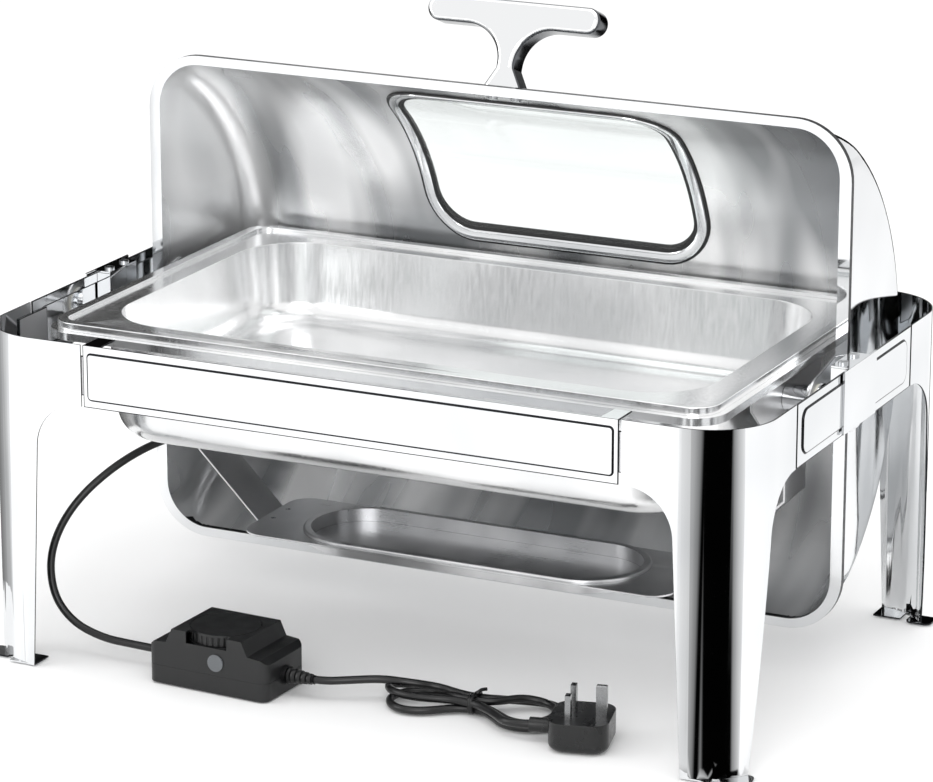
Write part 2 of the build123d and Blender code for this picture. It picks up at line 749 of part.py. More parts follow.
for side, name in ((-1, "left"), (1, "right")):
    support_face = along_x(side * (sleeve_inner_end - support_sheet), 0, 0, 1)
    with BuildPart() as pan_support:
        with BuildSketch(support_face):
            with BuildLine():
                Polyline((support_front_y, ledge_top_z), (support_front_y, ledge_top_z - support_cheek),
                         (strap_middle_y - support_foot_half, support_bottom_z),
                         (strap_middle_y + support_foot_half, support_bottom_z),
                         (support_back_y, ledge_top_z - support_cheek), (support_back_y, ledge_top_z),
                         close=True)
            make_face()
            with Locations((pivot_y, pivot_z)):
                Circle(stud_radius + bolt_clearance, mode=Mode.SUBTRACT)
            with Locations(*strap_rivet_spots):
                Circle(rivet_radius, mode=Mode.SUBTRACT)
        extrude(amount=side * support_sheet)
        ledge_x = side * (sleeve_inner_end + ledge_middle)
        with Locations((ledge_x, (support_front_y + support_back_y) / 2, ledge_top_z)):
            Box(support_ledge, support_back_y - support_front_y, support_sheet,
                align=(Align.CENTER, Align.CENTER, Align.MAX))
    keep(pan_support, f"pan_support_{name}")

    with BuildPart() as hanger_strap:
        with BuildSketch(Plane.XZ.offset(-strap_middle_y - strap_width / 2)):
            with BuildLine():
                foot_z = shelf_top_z - shelf_sheet
                mitre = strap_sheet * tan(radians(45 / 2))
                face_x = sleeve_inner_end
                drop = strap_bend_z - foot_z
                Polyline(
                    (side * face_x, strap_top_z), (side * face_x, strap_bend_z),
                    (side * (face_x - drop), foot_z), (side * (face_x - drop - strap_foot), foot_z),
                    (side * (face_x - drop - strap_foot), foot_z - strap_sheet),
                    (side * (face_x - drop + mitre), foot_z - strap_sheet),
                    (side * (face_x + strap_sheet), strap_bend_z - mitre),
                    (side * (face_x + strap_sheet), strap_top_z), close=True)
            make_face()
        extrude(amount=strap_width)
        for y, z in strap_rivet_spots:
            rod(along_x(side * sleeve_inner_end, y, z, side), rivet_radius, strap_sheet, Mode.SUBTRACT)
        for y in strap_rivet_y:
            spot = Plane(origin=(side * shelf_rivet_x, y, foot_z - strap_sheet))
            rod(spot, rivet_radius, strap_sheet, Mode.SUBTRACT)
    keep(hanger_strap, f"hanger_strap_{name}")

with BuildPart() as strap_rivets:
    for side in (-1, 1):
        for y, z in strap_rivet_spots:
            inner_x = sleeve_inner_end - support_sheet
            rod(along_x(side * inner_x, y, z, side), rivet_radius, support_sheet + strap_sheet)
            rod(along_x(side * inner_x, y, z, -side), rivet_head_radius, rivet_head_height)
            outer_x = sleeve_inner_end + strap_sheet
            rod(along_x(side * outer_x, y, z, side), rivet_head_radius, rivet_head_height)
        for y in strap_rivet_y:
            top = Plane(origin=(side * shelf_rivet_x, y, shelf_top_z), z_dir=(0, 0, -1))
            rod(top, rivet_radius, shelf_sheet + strap_sheet)
            rod(top.offset(shelf_sheet + strap_sheet), rivet_head_radius, rivet_head_height)
keep(strap_rivets, "strap_rivets")

with BuildPart() as shelf:
    centre = (0, shelf_middle_y)
    for z0, z1, grow, kind in (
        (shelf_top_z - shelf_sheet, shelf_top_z, 0, "plate"),
        (shelf_top_z, shelf_top_z + bead_height, bead_width, "bead"),
        (shelf_top_z - well_depth - shelf_sheet, shelf_top_z, shelf_sheet, "well"),
    ):
        with BuildSketch(Plane.XY.offset(z0)):
            with Locations(centre):
                if kind == "plate":
                    RectangleRounded(shelf_length, shelf_width, shelf_radius)
                else:
                    SlotOverall(well_length + 2 * grow, well_width + 2 * grow)
        extrude(amount=z1 - z0)
    fillet(shelf.edges().group_by(Axis.Z)[-1], radius=bead_height * 0.6)
    with BuildSketch(Plane.XY.offset(shelf_top_z - well_depth)):
        with Locations(centre):
            SlotOverall(well_length, well_width)
    extrude(amount=well_depth + bead_height, mode=Mode.SUBTRACT)
    for side in (-1, 1):
        for y in strap_rivet_y:
            top = Plane(origin=(side * shelf_rivet_x, y, shelf_top_z), z_dir=(0, 0, -1))
            rod(top, rivet_radius, shelf_sheet, Mode.SUBTRACT)
keep(shelf, "shelf")

# ======================= heater =======================
housing_length = spreader_length + 2 * (housing_sheet + housing_clearance)
housing_width = spreader_width + 2 * (housing_sheet + housing_clearance)
housing_bottom = water_bottom_z - housing_height
spreader_bottom = water_bottom_z - spreader_thickness
element_bottom = spreader_bottom - element_thickness
stud_spots = [(x, y) for x in (-heater_stud_x, heater_stud_x) for y in (-heater_stud_y, heater_stud_y)]


def layer(length, width, z0, z1, holes=heater_stud_radius + bolt_clearance):
    """A flat layer of the heater, with a hole round each of the pan's studs."""
    with BuildSketch(Plane.XY.offset(z0)) as sheet:
        Rectangle(length, width)
        with Locations(*stud_spots):
            Circle(holes, mode=Mode.SUBTRACT)
    extrude(sheet.sketch, amount=z1 - z0)


with BuildPart() as heat_spreader:
    layer(spreader_length, spreader_width, spreader_bottom, water_bottom_z)
keep(heat_spreader, "heat_spreader")

with BuildPart() as heating_element:
    layer(spreader_length - 2 * element_margin, spreader_width - 2 * element_margin,
          element_bottom, spreader_bottom)
keep(heating_element, "heating_element")

with BuildPart() as heater_insulation:
    layer(spreader_length, spreader_width, housing_bottom + housing_sheet, element_bottom)
    pocket = Plane.XY.offset(element_bottom - cutout_height)
    rod(pocket, cutout_radius + free_gap, cutout_height, Mode.SUBTRACT)
keep(heater_insulation, "heater_insulation")

with BuildPart() as thermal_cutout:
    rod(Plane.XY.offset(element_bottom - cutout_height), cutout_radius, cutout_height)
keep(thermal_cutout, "thermal_cutout")

exit_plane = along_x(-housing_length / 2, heater_exit_y, heater_exit_z, -1)
with BuildPart() as heater_housing:
    layer(housing_length, housing_width, housing_bottom, water_bottom_z)
    corner = heater_housing.edges().filter_by(Axis.Z).group_by(SortBy.LENGTH)[-1].sort_by(Axis.X)[:1]
    fillet(corner, radius=housing_corner)
    with BuildSketch(Plane.XY.offset(housing_bottom + housing_sheet)):
        Rectangle(housing_length - 2 * housing_sheet, housing_width - 2 * housing_sheet)
    extrude(amount=housing_height, mode=Mode.SUBTRACT)
    rod(exit_plane.offset(-housing_sheet), gland_radius - gland_bore_step, housing_sheet, Mode.SUBTRACT)
keep(heater_housing, "heater_housing")

with BuildPart() as heater_nuts:
    for x, y in stud_spots:
        under = Plane(origin=(x, y, housing_bottom), z_dir=(0, 0, -1))
        with BuildSketch(under):
            RegularPolygon(heater_nut_width / 2, 6, major_radius=False)
            Circle(heater_stud_radius, mode=Mode.SUBTRACT)
        extrude(amount=heater_nut_height)
keep(heater_nuts, "heater_nuts")

with BuildPart() as heater_gland:
    rod(exit_plane.offset(-housing_sheet), gland_radius - gland_bore_step, housing_sheet)
    rod(exit_plane, gland_radius, gland_length)
    fillet(heater_gland.edges().group_by(Axis.X)[0], radius=gland_edge_radius)
keep(heater_gland, "heater_gland")

# ======================= controller =======================
desk = Plane(origin=(controller_x, controller_y, 0), x_dir=(cos(radians(controller_turn)),
             sin(radians(controller_turn)), 0), z_dir=(0, 0, 1))
side_elevation = Plane(origin=desk.from_local_coords((0, controller_width / 2, 0)), x_dir=desk.x_dir,
                       z_dir=desk.y_dir * -1)
dial_bottom = controller_crown_height - dial_height
pocket_radius = dial_radius + 2 * free_gap
board_z = 8
board_thickness = 1.6
pot_height = 12
pot_size = 16
pot_floor = 2


def cover_bulk(inset, mode=Mode.ADD):
    """The controller's upper bulk: low ends that slope up to a raised crown."""
    with BuildPart(mode=Mode.PRIVATE) as bulk:
        with BuildSketch(side_elevation.offset(inset)):
            with BuildLine():
                end = controller_length / 2 - inset
                low = controller_end_height - inset
                high = controller_crown_height - inset
                bottom = controller_split_z
                along, down = controller_end_edge
                half = [(crown_top_x, high), (crown_foot_x, low + crown_foot_lift), (end - along, low),
                        (end, low - down), (end, bottom)]
                Polyline(*[(-x, z) for x, z in reversed(half)], *half, close=True)
            make_face()
        extrude(amount=controller_width - 2 * inset)
        with BuildSketch(desk.offset(controller_split_z)):
            RectangleRounded(controller_length - 2 * inset, controller_width - 2 * inset,
                             controller_corner - inset)
        extrude(amount=controller_crown_height, mode=Mode.INTERSECT)
    add(bulk.part, mode=mode)


lens_plane = Plane(origin=desk.from_local_coords((lens_x, -controller_width / 2, lens_z)), x_dir=desk.x_dir,
                   z_dir=desk.y_dir * -1)
with BuildPart() as controller_cover:
    cover_bulk(0)
    cover_bulk(controller_wall, Mode.SUBTRACT)
    rod(desk.offset(dial_bottom - controller_wall), pocket_radius + pocket_wall, controller_wall)
    rod(desk.offset(dial_bottom), pocket_radius, dial_height + 1, Mode.SUBTRACT)
    with BuildSketch(desk.offset(dial_bottom)):
        with Locations((0, -controller_width / 2)):
            Rectangle(notch_width, controller_width, align=(Align.CENTER, Align.CENTER))
            Rectangle(notch_width, controller_width / 2, align=(Align.CENTER, Align.MIN), mode=Mode.SUBTRACT)
            Rectangle(notch_width, notch_depth, align=(Align.CENTER, Align.MIN))
    extrude(amount=dial_height + 1, mode=Mode.SUBTRACT)
    spindle_hole = desk.offset(dial_bottom - controller_wall)
    rod(spindle_hole, spindle_radius + free_gap, controller_wall, Mode.SUBTRACT)
    rod(lens_plane.offset(-controller_wall), lens_radius - lens_lip, controller_wall, Mode.SUBTRACT)
keep(controller_cover, "controller_cover")

with BuildPart() as controller_base:
    with BuildSketch(desk):
        RectangleRounded(controller_length, controller_width, controller_corner)
    extrude(amount=controller_split_z)
    with BuildSketch(desk.offset(controller_wall)):
        RectangleRounded(controller_length - 2 * controller_wall, controller_width - 2 * controller_wall,
                         controller_corner - controller_wall)
    extrude(amount=controller_split_z, mode=Mode.SUBTRACT)
    screw_spots = [(x, y) for x in (-board_screw_x, board_screw_x)
                   for y in (-board_screw_y, board_screw_y)]
    with BuildSketch(desk.offset(controller_wall)):
        with Locations(*screw_spots):
            Circle(board_boss_radius)
    extrude(amount=board_z - controller_wall)
    with BuildSketch(desk):
        with Locations(*screw_spots):
            Circle(board_screw_radius)
    extrude(amount=board_z, mode=Mode.SUBTRACT)
keep(controller_base, "controller_base")

with BuildPart() as circuit_board:
    with BuildSketch(desk.offset(board_z)):
        Rectangle(board_length, board_width)
        with Locations(*screw_spots):
            Circle(board_screw_radius, mode=Mode.SUBTRACT)
    extrude(amount=board_thickness)
keep(circuit_board, "circuit_board")

with BuildPart() as controller_screws:
    with BuildSketch(desk):
        with Locations(*screw_spots):
            Circle(board_screw_radius)
    extrude(amount=board_z + board_thickness)
    with BuildSketch(desk.offset(board_z + board_thickness)):
        with Locations(*screw_spots):
            Circle(board_head_radius)
    extrude(amount=board_head_height)
keep(controller_screws, "controller_screws")

pot_bottom = board_z + board_thickness
with BuildPart() as potentiometer:
    with BuildSketch(desk.offset(pot_bottom)):
        Rectangle(pot_size, pot_size)
    extrude(amount=pot_height)
    rod(desk.offset(pot_bottom + pot_floor), spindle_radius + running_clearance, pot_height, Mode.SUBTRACT)
keep(potentiometer, "potentiometer")

spindle_bottom = pot_bottom + pot_floor + free_gap
with BuildPart() as dial:
    rod(desk.offset(dial_bottom + free_gap), dial_radius, dial_height - free_gap)
    with BuildSketch(desk.offset(dial_bottom + free_gap)):
        with PolarLocations(dial_radius, dial_ribs):
            Circle(dial_rib_radius)
    extrude(amount=dial_height - dial_rib_stop, mode=Mode.SUBTRACT)
    rod(desk.offset(spindle_bottom), spindle_radius, dial_bottom + dial_spindle_lap - spindle_bottom)
keep(dial, "dial")

with BuildPart() as indicator_lens:
    rod(lens_plane.offset(-controller_wall), lens_radius - lens_lip, controller_wall)
    rod(lens_plane, lens_radius, lens_lip)
keep(indicator_lens, "indicator_lens")

collar_length = 6
relief_length = 17
collar_radius_cord = 6
left_end = Plane(origin=desk.from_local_coords((-controller_length / 2, 0, controller_split_z)),
                 x_dir=desk.y_dir, z_dir=desk.x_dir * -1)
right_end = Plane(origin=desk.from_local_coords((controller_length / 2, 0, controller_split_z)),
                  x_dir=desk.y_dir, z_dir=desk.x_dir)
with BuildPart() as cord_collar:
    rod(left_end, collar_radius_cord, collar_length)
keep(cord_collar, "cord_collar")

with BuildPart() as mains_strain_relief:
    rod(right_end, relief_flange_radius, relief_flange)
    rod(right_end.offset(relief_flange), relief_core_radius, relief_length - relief_flange)
    for index in range(relief_ribs):
        rib = right_end.offset(relief_rib_start + relief_rib_pitch * index)
        rod(rib, relief_rib_radius - relief_rib_step * index, relief_rib_width)
keep(mains_strain_relief, "mains_strain_relief")

# ======================= cords and plug =======================
hank_x = 77
hank_y = -144.5
hank_turn = 4
hank_bottom_z = 1
hank_height = 12
hank_waist = 16
hank_neck_length = 50
left_loops = ((-36, 6), 32, 23)      # middle and half sizes of the loops on each side of the tie
right_loops = ((34, 3), 32, 26)
tie_width = 7
tie_thickness = 1
neck_length = 16
neck_radius = 5.5
plug_bed = Plane(origin=(plug_x, plug_y, 0), x_dir=(cos(radians(plug_turn)), sin(radians(plug_turn)), 0),
                 z_dir=(0, 0, 1))
hank_bed = Plane(origin=(hank_x, hank_y, hank_bottom_z),
                 x_dir=(cos(radians(hank_turn)), sin(radians(hank_turn)), 0), z_dir=(0, 0, 1))
plug_back = Plane(origin=plug_bed.from_local_coords((-plug_length / 2, 0, plug_height / 2)),
                  x_dir=plug_bed.y_dir, z_dir=plug_bed.x_dir * -1)
plug_end = tuple(plug_back.offset(neck_length).origin)

with BuildPart() as plug_body:
    with BuildSketch(plug_bed):
        RectangleRounded(plug_length, plug_width, plug_corner)
    extrude(amount=plug_height)
    fillet(plug_body.edges().group_by(Axis.Z)[0], radius=plug_base_edge)
    rod(plug_back.offset(-plug_neck_lap), neck_radius, neck_length + plug_neck_lap)
keep(plug_body, "plug_body")

live_x = -8
pin_pitch = 22.2
with BuildPart() as plug_pins:
    for x, y, size, rise in ((live_x, -pin_pitch / 2, live_pin, live_pin_rise),
                             (live_x, pin_pitch / 2, live_pin, live_pin_rise),
                             (live_x + pin_pitch, 0, earth_pin, earth_pin_rise)):
        with BuildSketch(plug_bed.offset(plug_height)):
            with Locations((x, y)):
                Rectangle(*size)
        extrude(amount=rise)
    fillet(plug_pins.edges().group_by(Axis.Z)[-1], radius=pin_edge)
keep(plug_pins, "plug_pins")

with BuildPart() as mains_cord_hank:
    with BuildSketch(hank_bed):
        for middle, half_long, half_wide in (left_loops, right_loops):
            with Locations(middle):
                Ellipse(half_long, half_wide)
        Rectangle(hank_neck_length, hank_waist)
        Rectangle(tie_width, hank_neck_length, mode=Mode.SUBTRACT)
        Rectangle(tie_width, hank_waist)
    extrude(amount=hank_height)
keep(mains_cord_hank, "mains_cord_hank")

with BuildPart() as cord_tie:
    section = Plane(origin=hank_bed.from_local_coords((-tie_width / 2, 0, hank_height / 2)),
                    x_dir=hank_bed.y_dir, z_dir=hank_bed.x_dir)
    with BuildSketch(section):
        Rectangle(hank_waist + 2 * tie_thickness, hank_height + 2 * tie_thickness)
        Rectangle(hank_waist, hank_height, mode=Mode.SUBTRACT)
    extrude(amount=tie_width)
keep(cord_tie, "cord_tie")

heater_exit = (-housing_length / 2 - gland_length, heater_exit_y, heater_exit_z)
collar_end = tuple(left_end.offset(collar_length).origin)
relief_end = tuple(right_end.offset(relief_length).origin)
collar_lead = tuple(left_end.offset(collar_length + collar_straight).origin)
relief_lead = tuple(right_end.offset(relief_length + relief_straight).origin)
plug_lead = tuple(plug_back.offset(neck_length + plug_straight).origin)
heater_route = [heater_exit, (-192, heater_exit_y, heater_exit_z), (-219, -76, 149), (-241, -110, 135),
                (-263, -137, 109), (-275, -152, 76), (-270, -159, 44), (-252, -161, 24),
                (-226, -160.5, 15), collar_lead, collar_end]
lead_route = [relief_end, relief_lead, (-16, -160, 15), (4, -150, 13), (27, -147, 8)]
tail_route = [(98, -161, 9), (110, -175, 10), plug_lead, plug_end]


def cord_tube(name, route):
    """Sweep a round cord along straight runs joined by tangent arcs; returns its length."""
    points = [Vector(*point) for point in route]
    radii = []
    for before, corner, after in zip(points, points[1:], points[2:]):
        run_in = corner - before
        run_out = after - corner
        half_turn = radians(run_in.get_angle(run_out)) / 2
        radii.append(bend_share * min(run_in.length, run_out.length) / tan(half_turn))
    print(name, "radii", [round(radius, 1) for radius in radii])
    with BuildPart() as tube:
        with BuildLine() as path:
            FilletPolyline(*points, radius=radii)
        with BuildSketch(Plane(origin=path.line @ 0, z_dir=path.line % 0)) as section:
            Circle(cord_radius)
        sweep(section.sketch, path=path.line)
    length = sum(edge.length for edge in path.edges())
    print(name, "length", round(length, 1), "volume ratio",
          round(tube.part.volume / (pi * cord_radius ** 2 * length), 4))
    keep(tube, name)
    return length


heater_cord_length = cord_tube("heater_cord", heater_route)
lead_length = cord_tube("mains_cord_lead", lead_route)
tail_length = cord_tube("mains_cord_tail", tail_route)
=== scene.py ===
"""Looks of an electric roll-top chafing dish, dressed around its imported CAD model.

Metres, +Z up, -Y the front.  The object's named sizes are in millimetres, made metres by MM.
"""
import json
from math import cos, pi, radians, sin, sqrt

import bmesh
import bpy
from mathutils import Matrix, Vector


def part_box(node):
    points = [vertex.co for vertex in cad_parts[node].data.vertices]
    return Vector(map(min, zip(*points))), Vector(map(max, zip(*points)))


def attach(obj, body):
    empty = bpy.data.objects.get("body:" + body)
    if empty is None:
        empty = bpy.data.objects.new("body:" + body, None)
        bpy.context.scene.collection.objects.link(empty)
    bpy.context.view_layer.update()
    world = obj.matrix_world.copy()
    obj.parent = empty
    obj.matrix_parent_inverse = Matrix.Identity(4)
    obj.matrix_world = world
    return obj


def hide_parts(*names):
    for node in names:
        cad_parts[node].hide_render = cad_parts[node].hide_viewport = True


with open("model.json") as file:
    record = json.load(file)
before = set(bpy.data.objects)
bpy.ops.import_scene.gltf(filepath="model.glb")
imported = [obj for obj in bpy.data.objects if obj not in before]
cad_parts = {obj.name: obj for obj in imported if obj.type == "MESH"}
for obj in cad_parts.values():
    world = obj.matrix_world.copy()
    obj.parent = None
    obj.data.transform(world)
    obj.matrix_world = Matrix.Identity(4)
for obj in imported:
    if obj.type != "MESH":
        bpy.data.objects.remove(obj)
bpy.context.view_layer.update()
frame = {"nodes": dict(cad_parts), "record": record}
NODES = frame["nodes"]
MM = 0.001

# ---- what the looks add to the design ----
CORD_WIDTH = 6.0
CORD_RINGS = 5                 # bevel resolution of a cord, for a round section
TIE_WIRE = 1.3                 # radius of the twist tie's coated wire
RELIEF_LENGTH = 25.0
RELIEF_RIBS = 5
RELIEF_SET_BACK = 17.0         # how much of the sleeve lies before the lead's own start
SHEET_EDGE = 0.25              # rounding on the edge of cut sheet
LEG_EDGE = 0.55                # the legs' rounding takes nearly half the sheet from each side
EDGE_SHADE_STRIP = 0.75             # width of the strip of painted shade along a cut edge
CUT_FACE = 1.35                # faces narrower than this are the sheet's own cut thickness
PLASTIC_EDGE = 1.2             # rounding on a moulded edge
HANDLE_EDGE = 1.0
BEAD_EDGE = 1.1                # rounding that turns the pan's raised band into a rolled bead
LID_RADIUS = 195.96            # the barrel curve, its axis and the window on it, as designed
LID_AXIS_Y = -17.46
LID_MIDDLE_Z = 227.5
WINDOW_X = 6
WINDOW_LENGTH = 226
WINDOW_HEIGHT = 158
WINDOW_RADIUS = 32
WINDOW_ANGLE = 37
DOME_RADIUS = 3.9
DOME_RISE = 0.9
ARM_RIVET_X = (276.8, 283)     # tops of the flat heads, inside and outside the lid
ARM_RIVET_Y = 57.5
ARM_RIVET_Z = (218.5, 242.5)
STRAP_RIVET_X = (253, 259)
STRAP_RIVET_Y = (8, 32)
STRAP_RIVET_Z = 199
RIM_HEM = 5                    # the rim's turned-back edge; its sides carry painted shade all round
RIM_LIP = 2                    # how far in from the rim's plane the lid's lining starts
SMOOTH_ANGLE = 32              # degrees; sharper folds stay crisp
FLAT_ANGLE = 0.5               # degrees; flatter joints between faces are merged
MERGE_GAP = 0.01
STEEP = 0.5                    # a face whose normal leans less than this is seen as side-on
GLASS_EDGE = 0.4
BASE_EDGE = 0.8
PLUG_EDGE = 1.6
DIAL_EDGE = 0.5
HANDLE_FRONT = Vector((0, -0.933, 0.36))   # the way the handle's polished front faces
HANDLE_SIDE = 0.6              # faces turned further from it than this are the darker sides, painted as dark reflection


# ======================= materials =======================
def linear(hex_colour):
    """An sRGB hex colour as linear RGBA."""
    channels = [int(hex_colour[i:i + 2], 16) / 255 for i in (1, 3, 5)]
    return [c / 12.92 if c <= 0.04045 else ((c + 0.055) / 1.055) ** 2.4 for c in channels] + [1.0]


def add_node(tree, kind, settings=None, links=None, **inputs):
    """Add a node: settings are its properties, inputs its values, links what feeds its inputs."""
    node = tree.nodes.new(kind)
    for name, value in (settings or {}).items():
        setattr(node, name, value)
    for name, value in inputs.items():
        node.inputs[name.replace("_", " ")].default_value = value
    for name, socket in (links or {}).items():
        tree.links.new(socket, node.inputs[name])
    return node


def new_material(name, colour, metallic, roughness, **shader_inputs):
    """A material with its Principled shader; returns both and the Object coordinates."""
    material = bpy.data.materials.new(name)
    material.use_nodes = True
    tree = material.node_tree
    shader = tree.nodes["Principled BSDF"]
    shader.inputs["Base Color"].default_value = linear(colour)
    shader.inputs["Metallic"].default_value = metallic
    shader.inputs["Roughness"].default_value = roughness
    for key, value in shader_inputs.items():
        shader.inputs[key.replace("_", " ")].default_value = value
    place = add_node(tree, "ShaderNodeTexCoord").outputs["Object"]
    return material, tree, shader, place


def noise(tree, place, size_mm, detail=3.0, stretch=(1, 1, 1), turn=(0, 0, 0)):
    """A noise pattern whose blotches are about size_mm across; stretch shrinks it along an axis."""
    mapping = add_node(tree, "ShaderNodeMapping", links={"Vector": place}, Scale=stretch,
                       Rotation=turn)
    return add_node(tree, "ShaderNodeTexNoise", links={"Vector": mapping.outputs["Vector"]},
                    Scale=1 / (size_mm * MM), Detail=detail).outputs["Fac"]


def spread(tree, value, low, high, start=0.3, end=0.7):
    """Map a 0-1 pattern onto low..high."""
    return add_node(tree, "ShaderNodeMapRange", links={"Value": value}, From_Min=start,
                    From_Max=end, To_Min=low, To_Max=high).outputs["Result"]


def tint(tree, value, dark, light):
    """Mix two sRGB colours by a 0-1 pattern."""
    ramp = add_node(tree, "ShaderNodeValToRGB", links={"Fac": value})
    ramp.color_ramp.elements[0].color = linear(dark)
    ramp.color_ramp.elements[0].position = 0.3
    ramp.color_ramp.elements[1].color = linear(light)
    ramp.color_ramp.elements[1].position = 0.7
    return ramp.outputs["Color"]


def bump(tree, value, height_mm):
    """Turn a pattern into relief of the given height."""
    return add_node(tree, "ShaderNodeBump", links={"Height": value}, Strength=1.0,
                    Distance=height_mm * MM).outputs["Normal"]


def mirror_steel():
    """Buffed 18/10 sheet: a mirror, a little wavy over the press marks, with faint wiping haze."""
    material, tree, shader, place = new_material("buffed_stainless_sheet", "#E4E5E6", 1.0, 0.05)
    haze = noise(tree, place, 55, 4)
    tree.links.new(spread(tree, haze, 0.025, 0.085), shader.inputs["Roughness"])
    tree.links.new(tint(tree, noise(tree, place, 120, 2), "#DADCDE", "#EDEEEF"),
                   shader.inputs["Base Color"])
    tree.links.new(bump(tree, noise(tree, place, 90, 1), 0.05), shader.inputs["Normal"])
    return material


def satin_steel():
    """Drawn and brushed sheet: soft highlights, fine press lines and cloudy rubbed patches."""
    material, tree, shader, place = new_material("brushed_stainless_sheet", "#C9CACB", 1.0, 0.3)
    cloud = noise(tree, place, 95, 3, (1.0, 0.6, 0.45), (0.2, 0.5, 0.1))
    lines = noise(tree, place, 1.6, 3, (0.04, 1, 1))
    tree.links.new(tint(tree, cloud, "#B7B8BA", "#F3F3F4"), shader.inputs["Base Color"])
    rough = add_node(tree, "ShaderNodeMath", {"operation": "MULTIPLY_ADD"},
                     {0: lines, 2: spread(tree, cloud, 0.2, 0.32)})
    rough.inputs[1].default_value = 0.12
    tree.links.new(rough.outputs["Value"], shader.inputs["Roughness"])
    tree.links.new(bump(tree, lines, 0.012), shader.inputs["Normal"])
    return material


def lid_lining():
    """The lid's brushed inside: pale satin with broad, slanting clouds in its colour, partly wiping
    marks and partly painted highlights.
    """
    material, tree, shader, place = new_material("brushed_lid_lining", "#F2F2F3", 0.86, 0.3)
    cloud = noise(tree, place, 110, 1.5, (1.0, 0.35, 0.4), (0.5, 0.75, 0.2))
    wipe_and_sheen = noise(tree, place, 30, 1, (1.0, 0.16, 0.2), (0.4, 0.7, 0.1))
    both = add_node(tree, "ShaderNodeMath", {"operation": "MULTIPLY_ADD"},
                    {0: wipe_and_sheen, 2: cloud})
    both.inputs[1].default_value = 0.35
    # The streaks' pale parts are partly painted highlights.
    ramp = tint(tree, spread(tree, both.outputs["Value"], 0, 1, 0.45, 0.9), "#A6A8AA", "#FFFFFF")
    tree.links.new(ramp, shader.inputs["Base Color"])
    tree.links.new(spread(tree, wipe_and_sheen, 0.22, 0.36), shader.inputs["Roughness"])
    return material


def painted_reflection_side():
    """The handle's sides: painted dark reflection, a chrome chosen darker than its polished faces.
    """
    material, tree, shader, place = new_material("chrome_side_painted_dark", "#5A5C5F", 1.0, 0.12)
    tree.links.new(spread(tree, noise(tree, place, 14, 3), 0.08, 0.2), shader.inputs["Roughness"])
    return material


def pan_steel():
    """Deep-drawn pan, polished after drawing: broad soft highlights with faint draw lines."""
    material, tree, shader, place = new_material("drawn_stainless_pan", "#F0F0F1", 0.95, 0.22)
    cloud = noise(tree, place, 140, 2)
    tree.links.new(tint(tree, cloud, "#DADBDC", "#FFFFFF"), shader.inputs["Base Color"])
    tree.links.new(spread(tree, noise(tree, place, 2.2, 4, (1, 1, 0.08)), 0.15, 0.27),
                   shader.inputs["Roughness"])
    tree.links.new(bump(tree, noise(tree, place, 60, 1), 0.08), shader.inputs["Normal"])
    return material


def painted_shade_edge():
    """Cut edges and the strip beside them: painted shade, a near-black steel darker than bare
    polished steel, standing in for the dark reflections along sheet edges and seams.
    """
    material, tree, shader, place = new_material("painted_shade_sheet_edge", "#2A2B2D", 1.0, 0.3)
    tree.links.new(spread(tree, noise(tree, place, 4, 3), 0.22, 0.42), shader.inputs["Roughness"])
    return material


def plain_steel():
    """Cold-headed and zinc-plated fittings: grey, softly shining."""
    material, tree, shader, place = new_material("plated_steel_fitting", "#BFC1C3", 1.0, 0.25)
    tree.links.new(spread(tree, noise(tree, place, 3, 4), 0.18, 0.38), shader.inputs["Roughness"])
    return material


def chrome():
    """Polished chromed casting: the brightest, cleanest mirror on the lid."""
    material, tree, shader, place = new_material("polished_chrome_casting", "#ECEDEE", 1.0, 0.04)
    tree.links.new(spread(tree, noise(tree, place, 18, 3), 0.02, 0.07), shader.inputs["Roughness"])
    return material


def tempered_glass():
    """Curved tempered glass: clear with a faint cool edge."""
    return new_material("tempered_glass", "#F7FBFA", 0.0, 0.0, IOR=1.5, Transmission_Weight=1.0)[0]


def moulded(name, colour, roughness, grain_mm, grain_height):
    """A moulded part: an even colour with a fine spark-eroded grain."""
    material, tree, shader, place = new_material(name, colour, 0.0, roughness)
    grain = noise(tree, place, grain_mm, 2)
    tree.links.new(spread(tree, noise(tree, place, 12, 4), roughness - 0.07, roughness + 0.07),
                   shader.inputs["Roughness"])
    tree.links.new(bump(tree, grain, grain_height), shader.inputs["Normal"])
    return material


def cast_metal(name, colour, roughness):
    """A plain metal of one colour with a softly varied shine."""
    material, tree, shader, place = new_material(name, colour, 1.0, roughness)
    tree.links.new(spread(tree, noise(tree, place, 5, 4), roughness - 0.08, roughness + 0.1),
                   shader.inputs["Roughness"])
    return material


